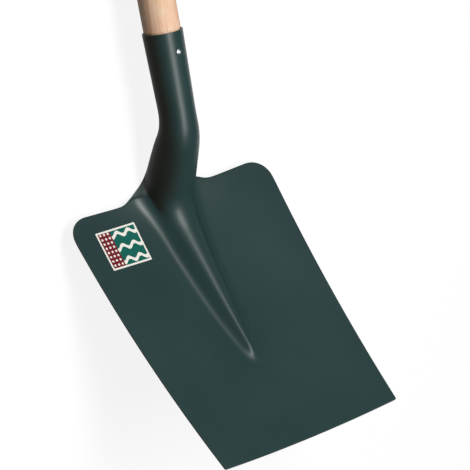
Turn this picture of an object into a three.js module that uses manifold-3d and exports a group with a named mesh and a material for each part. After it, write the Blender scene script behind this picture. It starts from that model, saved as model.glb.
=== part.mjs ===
// Square mouth shovel with a goose neck: a head pressed from one steel sheet, a straight wooden handle
// and one domed nail that keeps the handle in the socket. Lengths are in millimetres and Z points up.
//
// The head is worked out in its own frame: X runs sideways, Y from the mouth towards the handle, and Z
// out of the front face, which carries the load. At the end the whole tool is laid on its back, as it
// rests on a floor: on the heel of the blade and on the butt of the handle, with the mouth raised.

import * as THREE from 'three';
import { mergeVertices } from 'three/addons/utils/BufferGeometryUtils.js';
import Module from 'manifold-3d';

const { cos, sin, tan, PI, min, max, sqrt, acos, atan2 } = Math;
const degrees = THREE.MathUtils.degToRad;

// The sheet
const sheetThickness = 1.6;

// The blade
const bladeLength = 308;
const shoulderWidth = 270;
const mouthWidth = 235.3;
const sideBulge = 1.2;
const lengthwiseSag = 8.7;
const mouthDish = 4.5;
const shoulderDish = 4.8;
const middleDish = 6.7;
const mouthBow = 1.8;
const shoulderDip = 3.5;
const shoulderCornerRadius = 24.8;

// The ridge, from its tip on the blade up to the knee at the root of the neck
const ridgeLength = 173.4;
const ridgeNoseHeight = 3;
const ridgeNoseLength = 2.6;
const ridgeSag = 2.06;
const ridgeTipCrownRadius = 3.8;
const ridgeCrownRadius = 15.8;
const ridgeFilletRadius = 14.9;
const ridgeTipFlankAngle = degrees(36.1);
const ridgeFlankAngle = degrees(41.6);

// The goose neck
const kneeFromShoulders = 32;
const kneeHeight = 4.93;
const kneeRadius = 38.9;
const neckFrontLength = 89;
const neckAngle = degrees(61.5);
const bendRadius = 76.7;
const rootHalfWidth = 44;
const rootRise = 6.17;
const rootBlendWidth = 12.4;
const rootCrownRadius = 26.8;
const rootFilletRadius = 22.1;
const rootFlankAngle = degrees(71.8);
const rootCrestSetBack = 27.4;
const rootZoneLength = 89.3;

// The socket
const socketRimRadius = 21.6;
const socketNeckRadius = 19.4;
const socketTaperLength = 95.7;
const socketFrontLength = 115.2;
const socketLift = degrees(34.75);
const seamTopFromRim = 83;
const seamGap = 0.8;

// The handle
const handleLength = 1100;
const handleDiameter = 39.6;
const handleInSocket = 80;
const handleClearance = 0.35;
const handleFootChamfer = 4;
const handleSwellLength = 30;
const buttRounding = 12;

// The nail
const nailFromRim = 21.3;
const nailHeadDiameter = 5.6;
const nailHeadHeight = 1.5;
const nailShankDiameter = 3.6;
const nailLength = 28;
const nailPointLength = 5;
const nailClearance = 0.3;
const nailCellLength = 4;

// The label
const labelWidth = 52.8;
const labelHeight = 43.8;
const labelFromSide = 27.9;
const labelFromShoulders = 21.2;
const labelThickness = 0.2;
const labelClearance = 0.3;

// How finely the surfaces are divided
const sideRows = 30;
const cornerRows = 7;
const neckRows = 18;
const socketRows = 5;
const halfGirthSteps = 18;
const crestSteps = 60;
const wingSteps = 6;
const roundSegments = 48;
const labelSteps = 5;
const roundingSteps = 6;
const searchRounds = 30;

// How fast things change, as powers of the way travelled: above 1 slow at first, below 1 fast at first
const bowPower = 3;
const setBackPower = 2;
const neckRowPower = 2;
const closingPower = 0.319;
const middleDishPower = 1.5;
const crestStepPower = 1.5;
const rootAnglePower = 4.58;
const rootCrownPower = 0.48;
const rootFilletPower = 1.55;

// The share of the neck in which its sections come to stand square to the crest
const leanShare = 0.4;

const halfShoulder = shoulderWidth / 2;
const halfMouth = mouthWidth / 2;
const sideLength = bladeLength - shoulderCornerRadius;
const rootZoneStart = bladeLength - rootZoneLength;
const kneeFromMouth = bladeLength - kneeFromShoulders;
const ridgeTipFromMouth = kneeFromMouth - ridgeLength;

function mix(from, to, share) {
  return from + (to - from) * share;
}

function smooth(share) {
  const inside = min(max(share, 0), 1);
  return inside * inside * (3 - 2 * inside);
}

// The value between two others up to which a test holds true
function lastWhere(holds, first, last) {
  let low = first;
  let high = last;
  for (let round = 0; round < searchRounds; round += 1) {
    const middle = (low + high) / 2;
    if (holds(middle)) low = middle;
    else high = middle;
  }
  return low;
}

// Half the width that the straight sides of the blade would have at a height above the mouth
function sideHalfWidth(y) {
  const share = y / bladeLength;
  return mix(halfMouth, halfShoulder, share) + 4 * sideBulge * share * (1 - share);
}

// Half the real width, with the round corners of the shoulders cut off
function outlineHalfWidth(y) {
  const above = max(y - sideLength, 0);
  const cut = shoulderCornerRadius - sqrt(max(shoulderCornerRadius ** 2 - above ** 2, 0));
  return sideHalfWidth(y) - cut;
}

// The front face of the blade without its ridge: hollow along its length and across it, most of all in
// the middle
function bladeHeight(x, y) {
  const share = y / bladeLength;
  const middle = 4 * share * (1 - share);
  const across = x / sideHalfWidth(y);
  const inwards = max(1 - across * across, 0);
  const dish = mix(mouthDish, shoulderDish, share) * inwards;
  return -lengthwiseSag * middle - dish - middleDish * middle * inwards ** middleDishPower;
}

// The crest: the front line of ridge, neck and socket in the plane of symmetry, as Y and Z
const socketFrontAngle = socketLift + atan2(socketRimRadius - socketNeckRadius, socketTaperLength);
const ridgeTip = new THREE.Vector2(ridgeTipFromMouth, bladeHeight(0, ridgeTipFromMouth));
const knee = new THREE.Vector2(kneeFromMouth, kneeHeight);
const neckWay = new THREE.Vector2(cos(neckAngle), sin(neckAngle));
const bend = knee.clone().addScaledVector(neckWay, neckFrontLength);
const socketFrontWay = new THREE.Vector2(cos(socketFrontAngle), sin(socketFrontAngle));
const rimFront = bend.clone().addScaledVector(socketFrontWay, socketFrontLength);

// Where the round of a corner starts
function roundStart(before, corner, after, radius) {
  const wayIn = corner.clone().sub(before).normalize();
  const turn = wayIn.angleTo(after.clone().sub(corner));
  return corner.clone().addScaledVector(wayIn, -radius * tan(turn / 2));
}

// Takes a path straight on and round a corner of the given radius, towards the point after it
function roundCorner(path, before, corner, after, radius) {
  const wayIn = corner.clone().sub(before).normalize();
  const wayOut = after.clone().sub(corner).normalize();
  const turn = wayIn.angleTo(wayOut);
  const side = Math.sign(wayIn.cross(wayOut));
  const start = roundStart(before, corner, after, radius);
  const centre = start.clone().add(new THREE.Vector2(-wayIn.y, wayIn.x).multiplyScalar(radius * side));
  const from = atan2(start.y - centre.y, start.x - centre.x);
  path.lineTo(start.x, start.y);
  path.absarc(centre.x, centre.y, radius, from, from + side * turn, side < 0);
}

const crest = new THREE.Path();
crest.moveTo(ridgeTip.x, ridgeTip.y);

// From its tip the ridge rises with a short nose, and sags a little on its way to the knee
const ridgeRun = roundStart(ridgeTip, knee, bend, kneeRadius).sub(ridgeTip);
const ridgeOut = new THREE.Vector2(-ridgeRun.y, ridgeRun.x).normalize();
for (let step = 1; step < crestSteps; step += 1) {
  const share = (step / crestSteps) ** crestStepPower;
  const noseLeft = 1 - min(share * ridgeRun.length() / ridgeNoseLength, 1);
  const nose = ridgeNoseHeight * (1 - noseLeft * noseLeft) * (1 - share);
  const out = nose - 4 * ridgeSag * share * (1 - share);
  const point = ridgeTip.clone().addScaledVector(ridgeRun, share).addScaledVector(ridgeOut, out);
  crest.lineTo(point.x, point.y);
}
roundCorner(crest, ridgeTip, knee, bend, kneeRadius);
roundCorner(crest, knee, bend, rimFront, bendRadius);
crest.lineTo(rimFront.x, rimFront.y);
const crestLength = crest.getLength();

// Where along the crest its Y has a given value
function crestDistanceAt(y) {
  return lastWhere((distance) => crest.getPoint(distance / crestLength).x < y, 0, crestLength);
}

// Half a section across ridge, neck or socket is one walk from the crest: round the crown, straight
// down the flank, outwards through the fillet and on along the flange. The walk gives how far a point
// lies sideways and how deep below the crest.
function sectionPoint(section, walk) {
  const { crownRadius, flankAngle, flankLength, filletRadius, flareAngle } = section;
  const onCrown = min(walk / crownRadius, flankAngle);
  const point = { x: crownRadius * sin(onCrown), depth: crownRadius * (1 - cos(onCrown)) };
  const afterCrown = max(walk - crownRadius * flankAngle, 0);
  const onFlank = min(afterCrown, flankLength);
  point.x += onFlank * cos(flankAngle);
  point.depth += onFlank * sin(flankAngle);
  const afterFlank = afterCrown - onFlank;
  const inFillet = filletRadius > 0 ? min(afterFlank / filletRadius, flareAngle) : flareAngle;
  const heading = flankAngle - inFillet;
  point.x += filletRadius * (sin(flankAngle) - sin(heading));
  point.depth += filletRadius * (cos(heading) - cos(flankAngle));
  const onFlange = afterFlank - filletRadius * inFillet;
  point.x += onFlange * cos(heading);
  point.depth += onFlange * sin(heading);
  return point;
}

// The section of the ridge where it stands a given height above the blade
function ridgeSection(height, crownRadius, filletRadius, wantedAngle) {
  const radii = crownRadius + filletRadius;
  const flankAngle = min(wantedAngle, acos(max(1 - height / radii, -1)));
  const straight = height - radii * (1 - cos(flankAngle));
  const flankLength = straight > 0 ? straight / sin(flankAngle) : 0;
  const footX = radii * sin(flankAngle) + flankLength * cos(flankAngle);
  const footWalk = radii * flankAngle + flankLength;
  const section = { crownRadius, flankAngle, flankLength, filletRadius, flareAngle: flankAngle };
  return { section, halfGirth: footWalk + rootHalfWidth - footX };
}

// The rows of the blade run from side to side, at these heights above the mouth
const bladeRowHeights = [];
for (let row = 0; row <= sideRows; row += 1) {
  bladeRowHeights.push(sideLength * row / sideRows);
}
for (let row = 1; row <= cornerRows; row += 1) {
  bladeRowHeights.push(sideLength + shoulderCornerRadius * sin(PI / 2 * row / cornerRows));
}

// How far a row lies up the root zone, in which the ridge steepens and the rows turn towards the neck
function upperShare(rowHeight) {
  return (rowHeight - rootZoneStart) / rootZoneLength;
}

// The mouth bows out a little. The shoulders dip from their corners inwards and rise into the root of
// the neck.
function bladeRowY(rowHeight, x) {
  const across = x / sideHalfWidth(rowHeight);
  const bow = mouthBow * (1 - across * across) * (1 - rowHeight / bladeLength) ** bowPower;
  const dip = shoulderDip * (1 - max(x, rootHalfWidth) / halfShoulder);
  const rise = rootRise * (1 - smooth((x - rootHalfWidth) / rootBlendWidth));
  return rowHeight - bow + (rise - dip) * smooth(upperShare(rowHeight));
}

// How far the crest of a blade row lies behind its foot, towards the mouth
function crestSetBack(rowHeight) {
  return rootCrestSetBack * max(upperShare(rowHeight), 0) ** setBackPower;
}

// One row of the blade from its middle to its right side
function bladeRow(rowHeight) {
  const footY = bladeRowY(rowHeight, 0);
  const footZ = bladeHeight(0, footY);
  const crestY = footY - crestSetBack(rowHeight);
  const crestPoint = new THREE.Vector2(footY, footZ);
  if (crestY > ridgeTip.x) crestPoint.copy(crest.getPoint(crestDistanceAt(crestY) / crestLength));
  const rise = crestPoint.clone().sub(new THREE.Vector2(footY, footZ));
  const height = rise.length();
  const up = height > 0 ? rise.normalize() : new THREE.Vector2(0, 1);
  const rootShare = smooth(upperShare(rowHeight));
  const lowerShare = min(max(rowHeight - ridgeTipFromMouth, 0) / (rootZoneStart - ridgeTipFromMouth), 1);
  const lowerCrown = mix(ridgeTipCrownRadius, ridgeCrownRadius, lowerShare);
  const crownRadius = mix(lowerCrown, rootCrownRadius, rootShare ** rootCrownPower);
  const filletRadius = mix(ridgeFilletRadius, rootFilletRadius, rootShare ** rootFilletPower);
  const lowerAngle = mix(ridgeTipFlankAngle, ridgeFlankAngle, lowerShare);
  const flankAngle = mix(lowerAngle, rootFlankAngle, rootShare ** rootAnglePower);
  const { section, halfGirth } = ridgeSection(height, crownRadius, filletRadius, flankAngle);
  const points = [];
  for (let step = 0; step <= halfGirthSteps; step += 1) {
    const { x, depth } = sectionPoint(section, halfGirth * step / halfGirthSteps);
    const above = height - depth;
    const y = bladeRowY(rowHeight, x);
    points.push(new THREE.Vector3(x, y + up.x * above, bladeHeight(x, y) + up.y * above));
  }
  const outerX = outlineHalfWidth(rowHeight);
  for (let step = 1; step <= wingSteps; step += 1) {
    const x = mix(rootHalfWidth, outerX, step / wingSteps);
    const y = bladeRowY(rowHeight, x);
    points.push(new THREE.Vector3(x, y, bladeHeight(x, y)));
  }
  return points;
}

// The last row of the blade tells where along the crest the neck begins
const rootFootY = bladeRowY(bladeLength, 0);
const neckStart = crestDistanceAt(rootFootY - rootCrestSetBack);
const neckEnd = crestLength - seamTopFromRim;
const rootCrest = crest.getPoint(neckStart / crestLength);
const rootStand = rootCrest.clone().sub(new THREE.Vector2(rootFootY, bladeHeight(0, rootFootY)));
const root = ridgeSection(rootStand.length(), rootCrownRadius, rootFilletRadius, rootFlankAngle);

// A point of the front surface from a crest distance and a section point, square to the crest
function squareToCrest(distance, up, x, depth) {
  const top = crest.getPoint(distance / crestLength);
  return new THREE.Vector3(x, top.x - up.x * depth, top.y - up.y * depth);
}

function crestNormal(distance) {
  const along = crest.getTangent(distance / crestLength);
  return new THREE.Vector2(-along.y, along.x);
}

const rootUp = rootStand.clone().normalize();

// The socket widens evenly towards its rim
function socketRadius(fromRim) {
  return mix(socketRimRadius, socketNeckRadius, fromRim / socketTaperLength);
}

const neckTopRadius = socketRadius(seamTopFromRim);

// The neck closes from the open section at its root to the round socket with its seam at the back
function neckRow(row) {
  const travel = row / neckRows;
  const share = travel ** neckRowPower;
  const distance = mix(neckStart, neckEnd, share);
  const up = rootUp.clone().lerp(crestNormal(distance), smooth(travel / leanShare)).normalize();
  const crownRadius = mix(rootCrownRadius, neckTopRadius, share);
  const flankAngle = mix(root.section.flankAngle, PI, share ** closingPower);
  const flareAngle = root.section.flareAngle * (1 - share);
  const halfGirth = mix(root.halfGirth, PI * neckTopRadius - seamGap / 2, share);
  const filletRadius = rootFilletRadius * (1 - share);
  const used = crownRadius * flankAngle + filletRadius * flareAngle;
  const flankLength = max(halfGirth - used, 0);
  const section = { crownRadius, flankAngle, flankLength, filletRadius, flareAngle };
  const points = [];
  for (let step = 0; step <= halfGirthSteps; step += 1) {
    const { x, depth } = sectionPoint(section, halfGirth * step / halfGirthSteps);
    const point = squareToCrest(distance, up, max(x, seamGap / 2 * step / halfGirthSteps), depth);
    const across = x / halfShoulder;
    point.z += shoulderDish * across * across * (1 - travel);
    points.push(point);
  }
  return points;
}

// Half a row of the socket, a circle that stops short of the seam
function socketRow(fromRim) {
  const distance = crestLength - fromRim;
  const up = crestNormal(distance);
  const radius = socketRadius(fromRim);
  const halfTurn = PI - seamGap / 2 / radius;
  const points = [];
  for (let step = 0; step <= halfGirthSteps; step += 1) {
    const angle = halfTurn * step / halfGirthSteps;
    points.push(squareToCrest(distance, up, radius * sin(angle), radius * (1 - cos(angle))));
  }
  return points;
}

const socketRowPlaces = [];
const aboveNail = nailFromRim + nailCellLength;
for (let row = 1; row <= socketRows; row += 1) {
  socketRowPlaces.push(mix(seamTopFromRim, aboveNail, row / socketRows));
}
const nailRow = bladeRowHeights.length + neckRows + socketRowPlaces.length;
const belowRim = nailFromRim - nailCellLength;
socketRowPlaces.push(nailFromRim, belowRim, belowRim / 2, 0);

// All rows of the head, each from its middle to its right side
const halfRows = bladeRowHeights.map(bladeRow);
for (let row = 1; row <= neckRows; row += 1) {
  halfRows.push(neckRow(row));
}
halfRows.push(...socketRowPlaces.map(socketRow));

// Mirrors the half rows and numbers their points. A row's points count from its middle: negative
// numbers lie on the left side.
const headPoints = [];
const rows = halfRows.map((half) => {
  const ids = new Map();
  half.forEach((point, step) => {
    ids.set(step, headPoints.length);
    headPoints.push(point);
    if (step === 0) return;
    ids.set(-step, headPoints.length);
    headPoints.push(new THREE.Vector3(-point.x, point.y, point.z));
  });
  return { ids, reach: half.length - 1 };
});

// Four-sided cells between neighbouring rows, without the four that meet at the nail
const headCells = [];
for (let row = 0; row + 1 < rows.length; row += 1) {
  const lower = rows[row].ids;
  const upper = rows[row + 1].ids;
  const reach = min(rows[row].reach, rows[row + 1].reach);
  const besideNail = row === nailRow || row === nailRow - 1;
  for (let step = -reach; step < reach; step += 1) {
    if (besideNail && (step === 0 || step === -1)) continue;
    headCells.push([lower.get(step), lower.get(step + 1), upper.get(step + 1), upper.get(step)]);
  }
}

// A round hole for the nail: eight cells join the eight points round the nail to eight on the hole
const nailCentre = headPoints[rows[nailRow].ids.get(0)];
const nailHoleRadius = nailShankDiameter / 2 + nailClearance;
const aroundNail = [[0, 1], [1, 1], [1, 0], [1, -1], [0, -1], [-1, -1], [-1, 0], [-1, 1]];
const outerRing = aroundNail.map(([up, right]) => rows[nailRow + up].ids.get(right));
const innerRing = outerRing.map((id) => {
  const way = headPoints[id].clone().sub(nailCentre).setLength(nailHoleRadius);
  headPoints.push(nailCentre.clone().add(way));
  return headPoints.length - 1;
});
outerRing.forEach((id, index) => {
  const next = (index + 1) % outerRing.length;
  headCells.push([innerRing[index], id, outerRing[next], innerRing[next]]);
});

// Gives a sheet its thickness: the front face, the back face behind it, and a wall along each free edge
function sheetGeometry(points, cells, thickness) {
  const normals = points.map(() => new THREE.Vector3());
  cells.forEach((cell) => {
    const [a, b, c, d] = cell.map((id) => points[id]);
    const normal = c.clone().sub(a).cross(d.clone().sub(b)).normalize();
    cell.forEach((id) => normals[id].add(normal));
  });
  const back = points.map((point, id) => point.clone().addScaledVector(normals[id].normalize(), -thickness));
  const used = normals.map((normal) => normal.lengthSq() > 0);
  const positions = [...points, ...back].flatMap((point) => point.toArray());
  const count = points.length;
  const index = [];
  const edges = new Set();
  cells.forEach(([a, b, c, d]) => {
    index.push(a, b, c, a, c, d);
    index.push(count + a, count + c, count + b, count + a, count + d, count + c);
    [[a, b], [b, c], [c, d], [d, a]].forEach(([from, to]) => edges.add(`${from} ${to}`));
  });
  edges.forEach((edge) => {
    const [from, to] = edge.split(' ').map(Number);
    if (edges.has(`${to} ${from}`) || !used[from]) return;
    index.push(from, count + from, count + to, from, count + to, to);
  });
  const geometry = new THREE.BufferGeometry();
  geometry.setAttribute('position', new THREE.Float32BufferAttribute(positions, 3));
  geometry.setIndex(index);
  geometry.computeVertexNormals();
  return geometry;
}

// Solids for cutting, and back
const wasm = await Module();
wasm.setup();

function toSolid(geometry) {
  const bare = geometry.clone();
  bare.deleteAttribute('normal');
  bare.deleteAttribute('uv');
  const merged = mergeVertices(bare);
  const vertProperties = new Float32Array(merged.attributes.position.array);
  const triVerts = new Uint32Array(merged.index.array);
  return new wasm.Manifold(new wasm.Mesh({ numProp: 3, vertProperties, triVerts }));
}

function toGeometry(solid) {
  const { vertProperties, triVerts } = solid.getMesh();
  const geometry = new THREE.BufferGeometry();
  geometry.setAttribute('position', new THREE.BufferAttribute(vertProperties, 3));
  geometry.setIndex(new THREE.BufferAttribute(triVerts, 1));
  geometry.computeVertexNormals();
  return geometry;
}

const greenPaint = new THREE.MeshStandardMaterial({ color: 0x2c403f, roughness: 0.45, metalness: 0 });
const paleWood = new THREE.MeshStandardMaterial({ color: 0xe6c3a4, roughness: 0.6, metalness: 0 });
const zincPlate = new THREE.MeshStandardMaterial({ color: 0xc9ccca, roughness: 0.35, metalness: 1 });
const labelPrint = new THREE.MeshStandardMaterial({ color: 0x0c6b57, roughness: 0.5, metalness: 0 });

function named(name, geometry, material) {
  const mesh = new THREE.Mesh(geometry, material);
  mesh.name = name;
  return mesh;
}

const head = named('blade_and_socket', sheetGeometry(headPoints, headCells, sheetThickness), greenPaint);

// The label lies on the left shoulder, on the viewer's left when the mouth points down
const labelGrid = [];
const labelCells = [];
for (let row = 0; row <= labelSteps; row += 1) {
  for (let step = 0; step <= labelSteps; step += 1) {
    const x = labelFromSide - halfShoulder + labelWidth * step / labelSteps;
    const y = bladeLength - labelFromShoulders - labelHeight * (1 - row / labelSteps);
    labelGrid.push(new THREE.Vector3(x, y, bladeHeight(x, y) + labelClearance + labelThickness));
    const id = labelGrid.length - 1;
    const wide = labelSteps + 1;
    if (row < labelSteps && step < labelSteps) labelCells.push([id, id + 1, id + 1 + wide, id + wide]);
  }
}
const label = named('label', sheetGeometry(labelGrid, labelCells, labelThickness), labelPrint);

// The socket's own frame: its origin is the middle of the rim, Y runs up the handle and Z to the front
const taperAngle = socketFrontAngle - socketLift;
const socketFrame = new THREE.Group();
const rimUp = crestNormal(crestLength);
const rimMiddle = squareToCrest(crestLength, rimUp, 0, socketRimRadius);
socketFrame.position.copy(rimMiddle);
socketFrame.rotation.x = socketLift;

// The handle fills the socket's taper and swells to its full thickness just above the rim
function handleRadiusInSocket(fromRim) {
  return socketRadius(fromRim) - sheetThickness - handleClearance;
}

const handleRadius = handleDiameter / 2;
const footRadius = handleRadiusInSocket(handleInSocket);
const aboveChamfer = handleInSocket - handleFootChamfer;
const handleProfile = [
  new THREE.Vector2(0, -handleInSocket),
  new THREE.Vector2(footRadius - handleFootChamfer, -handleInSocket),
  new THREE.Vector2(handleRadiusInSocket(aboveChamfer), -aboveChamfer),
  new THREE.Vector2(handleRadiusInSocket(0), 0),
  new THREE.Vector2(handleRadius, handleSwellLength),
];
const buttY = handleLength - handleInSocket;
for (let step = 0; step <= roundingSteps; step += 1) {
  const angle = PI / 2 * step / roundingSteps;
  const radius = handleRadius - buttRounding * (1 - cos(angle));
  handleProfile.push(new THREE.Vector2(radius, buttY - buttRounding * (1 - sin(angle))));
}
handleProfile.push(new THREE.Vector2(0, buttY));
const handleBlank = new THREE.LatheGeometry(handleProfile, roundSegments);

// The nail stands square on the front of the socket
const nailProfile = [
  new THREE.Vector2(0, -nailLength),
  new THREE.Vector2(nailShankDiameter / 2, nailPointLength - nailLength),
  new THREE.Vector2(nailShankDiameter / 2, 0),
];
for (let step = 0; step <= roundingSteps; step += 1) {
  const angle = PI / 2 * step / roundingSteps;
  nailProfile.push(new THREE.Vector2(nailHeadDiameter / 2 * cos(angle), nailHeadHeight * sin(angle)));
}
const nail = named('socket_nail', new THREE.LatheGeometry(nailProfile, roundSegments / 2), zincPlate);
nail.rotation.x = PI / 2 + taperAngle;
const sideways = new THREE.Vector3(1, 0, 0);
const nailSeat = nailCentre.clone().sub(rimMiddle).applyAxisAngle(sideways, -socketLift);
const nailOut = new THREE.Vector3(0, 1, 0).applyAxisAngle(sideways, nail.rotation.x);
nail.position.copy(nailSeat).addScaledVector(nailOut, nailClearance);

// Its hole in the wood is a little wider and deeper than the shank
const holeLength = nailLength + nailHeadDiameter;
const drill = new THREE.CylinderGeometry(nailHoleRadius, nailHoleRadius, holeLength, roundSegments / 2);
drill.translate(0, nailHeadDiameter / 2 - nailClearance - holeLength / 2, 0);
drill.rotateX(nail.rotation.x);
drill.translate(nail.position.x, nail.position.y, nail.position.z);
const handleSolid = toSolid(handleBlank).subtract(toSolid(drill));
const handle = named('wooden_handle', toGeometry(handleSolid), paleWood);
socketFrame.add(handle, nail);

// Lays the tool on its back. The floor touches the heel of the head and the butt of the handle, so the
// right angle is the one at which both reach equally low.
function lowest(mesh, matrix, angle) {
  const point = new THREE.Vector3();
  const { position } = mesh.geometry.attributes;
  let low = Infinity;
  for (let id = 0; id < position.count; id += 1) {
    point.fromBufferAttribute(position, id).applyMatrix4(matrix);
    low = min(low, point.z * cos(angle) - point.y * sin(angle));
  }
  return low;
}

socketFrame.updateMatrix();
const restAngle = lastWhere((angle) => {
  const headLow = lowest(head, head.matrix, angle);
  return headLow < lowest(handle, socketFrame.matrix, angle);
}, 0, 2 * socketLift);

const tool = new THREE.Group();
tool.add(head, label, socketFrame);
tool.rotation.x = -restAngle;
const box = new THREE.Box3().setFromObject(tool, true);
tool.position.set(0, -(box.min.y + box.max.y) / 2, -box.min.z);

const shovel = new THREE.Group();
shovel.add(tool);

export default shovel;
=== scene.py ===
# %% [markdown]
# A square mouth shovel with a goose neck.
#
# The head is one pressed steel sheet under dark green enamel. The handle is a straight stick of ash,
# tapered into the rolled socket and held there by one nail. A small printed label sits on a shoulder.
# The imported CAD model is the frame: each piece made here stands where its CAD solid stands.

# %% Load the frame
from bisect import bisect
from math import acos, asin, atan2, cos, pi, radians, sin, sqrt, tan

import bpy
from mathutils import Euler, Matrix, Vector


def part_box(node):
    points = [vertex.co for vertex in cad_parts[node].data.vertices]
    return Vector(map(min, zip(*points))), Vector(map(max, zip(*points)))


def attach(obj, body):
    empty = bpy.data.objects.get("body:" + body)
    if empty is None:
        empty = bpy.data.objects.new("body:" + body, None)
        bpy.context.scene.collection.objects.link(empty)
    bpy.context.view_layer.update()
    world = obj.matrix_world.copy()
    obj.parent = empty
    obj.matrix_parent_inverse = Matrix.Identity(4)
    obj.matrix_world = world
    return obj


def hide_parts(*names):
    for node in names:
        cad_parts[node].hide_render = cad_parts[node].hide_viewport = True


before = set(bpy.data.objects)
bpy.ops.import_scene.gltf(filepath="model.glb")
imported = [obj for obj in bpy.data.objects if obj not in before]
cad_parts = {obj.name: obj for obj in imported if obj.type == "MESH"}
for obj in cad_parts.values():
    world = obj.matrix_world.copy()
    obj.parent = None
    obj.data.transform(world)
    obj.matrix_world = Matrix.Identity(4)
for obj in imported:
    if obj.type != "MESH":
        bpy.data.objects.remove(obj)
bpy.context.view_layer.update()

MM = 0.001

# %% [markdown]
# The camera comes first. The photograph was taken from the left of the tool, from high up and with a
# long lens, so the sides of the blade hardly run together. A long focal length from three metres away
# gives the same flat perspective.

# %% Camera
PHOTO_PIXELS = 470
SENSOR_MM, LENS_MM = 36, 224.58
FAR_CLIP = 20
CAMERA_AT, CAMERA_TURNED = (-1.78007, 0.22010, 2.47188), (-6.8636, -38.7738, -11.4595)

camera_data = bpy.data.cameras.new("camera")
camera_data.sensor_width = SENSOR_MM
camera_data.lens = LENS_MM
camera_data.clip_end = FAR_CLIP
camera = bpy.data.objects.new("camera", camera_data)
bpy.context.collection.objects.link(camera)
camera.location = CAMERA_AT
camera.rotation_euler = Euler([radians(a) for a in CAMERA_TURNED])
bpy.context.scene.camera = camera
pixel_mm = camera.location.length * SENSOR_MM / LENS_MM / PHOTO_PIXELS / MM
print("one pixel of the photograph is about", round(pixel_mm, 2), "mm on the tool")
# %% [markdown]
# The head. On the real tool a flat blank goes under a press: the blade gets its hollow and its ridge,
# and the top is bent into a goose neck and rolled round the handle. The form could be cut out of a grid
# by hand, but a pressed sheet shows every dent in its gloss. So this one piece is worked out, from the
# same kind of sizes as the CAD solid: row by row across the sheet, from the mouth up to the socket's rim.

# %% Sizes of the head, in millimetres
SHEET = 1.6
BLADE_LENGTH = 308
HALF_SHOULDER = 135
HALF_MOUTH = 117.65
SIDE_BULGE = 1.2
LENGTHWISE_SAG = 8.7
MOUTH_DISH = 4.5
SHOULDER_DISH = 4.8
MIDDLE_DISH = 6.7
MOUTH_BOW = 1.8
SHOULDER_DIP = 3.5
CORNER_RADIUS = 24.8

RIDGE_LENGTH = 170
NOSE_HEIGHT, NOSE_LENGTH, RIDGE_SAG = 4, 6, 2.06
TIP_CROWN, RIDGE_CROWN, ROOT_CROWN = 3.8, 15.8, 26.8
RIDGE_FILLET, ROOT_FILLET = 14.9, 24
TIP_FLANK, RIDGE_FLANK, ROOT_FLANK = radians(36.1), radians(41.6), radians(71.8)
ROOT_ZONE = 89.3
ROOT_HALF_WIDTH = 44
ROOT_RISE = 7
ROOT_BLEND = 12.4
CREST_SET_BACK = 27.4

KNEE = (BLADE_LENGTH - 32, 4.93)
KNEE_RADIUS = 38.9
NECK_ANGLE, NECK_FRONT = radians(61.5), 89
BEND_RADIUS = 76.7
SOCKET_LIFT, SOCKET_FRONT = radians(34.75), 115.2
RIM_RADIUS, NECK_RADIUS, TAPER_LENGTH = 21.6, 19.4, 95.7
SEAM_TOP = 88
SEAM_GAP = 0.8

# How fast things change, as powers of the way travelled
DISH_POWER, BOW_POWER = 1.5, 3
ANGLE_POWER, CROWN_POWER, FILLET_POWER = 4.58, 0.48, 2.6
CLOSING_POWER, NECK_CROWN_POWER = 0.319, 1.3
LEAN_SHARE = 0.4


print("blade", 2 * HALF_SHOULDER, "mm wide and", BLADE_LENGTH, "mm long, of", SHEET, "mm sheet")


# %% [markdown]
# The blade by itself is a shallow tray: hollow along its length and a little across it. Its sides
# spread towards the shoulders, whose corners are round.

# %% The blade's surface
def mix(a, b, share):
    """The value a share of the way from a to b."""
    return a + (b - a) * share


def smooth(share):
    """A share from 0 to 1 that starts and ends gently."""
    share = min(max(share, 0), 1)
    return share * share * (3 - 2 * share)


def side_half_width(y):
    """Half the blade's width at a height above the mouth, without the round corners."""
    share = y / BLADE_LENGTH
    return mix(HALF_MOUTH, HALF_SHOULDER, share) + 4 * SIDE_BULGE * share * (1 - share)


def outline_half_width(y):
    """The same with the round corners."""
    above = max(y - BLADE_LENGTH + CORNER_RADIUS, 0)
    return side_half_width(y) - CORNER_RADIUS + sqrt(max(CORNER_RADIUS ** 2 - above ** 2, 0))


def blade_height(x, y):
    """How high the blade's front lies at a point; it is below the line from mouth to shoulders."""
    share = y / BLADE_LENGTH
    middle = 4 * share * (1 - share)
    inwards = max(1 - (x / side_half_width(y)) ** 2, 0)
    dish = mix(MOUTH_DISH, SHOULDER_DISH, share) * inwards
    return -LENGTHWISE_SAG * middle - dish - MIDDLE_DISH * middle * inwards ** DISH_POWER


def root_share(row):
    """The share of the root zone that lies below a row."""
    return (row - BLADE_LENGTH + ROOT_ZONE) / ROOT_ZONE


def row_y(row, x):
    """Where a row of the sheet runs: bowed at the mouth, dipped and raised at the shoulders."""
    across = x / side_half_width(row)
    bow = MOUTH_BOW * (1 - across ** 2) * (1 - row / BLADE_LENGTH) ** BOW_POWER
    dip = SHOULDER_DIP * (1 - max(x, ROOT_HALF_WIDTH) / HALF_SHOULDER)
    rise = ROOT_RISE * (1 - smooth((x - ROOT_HALF_WIDTH) / ROOT_BLEND))
    return row - bow + (rise - dip) * smooth(root_share(row))


print("the blade is", round(-blade_height(0, BLADE_LENGTH / 2), 1), "mm deep in its middle")


# %% [markdown]
# The crest is the front line of ridge, neck and socket, seen from the side. It is drawn as a draughtsman
# draws it: three lines joined by two arcs, the knee and the bend. The first line, the ridge, starts with
# a short blunt nose and sags a little, as the photograph's highlight on it does.

# %% The crest line
RIDGE_STEPS, ARC_STEPS = 60, 40
# Points lie closer together towards the ridge's tip
TIP_CROWDING = 1.5

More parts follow.
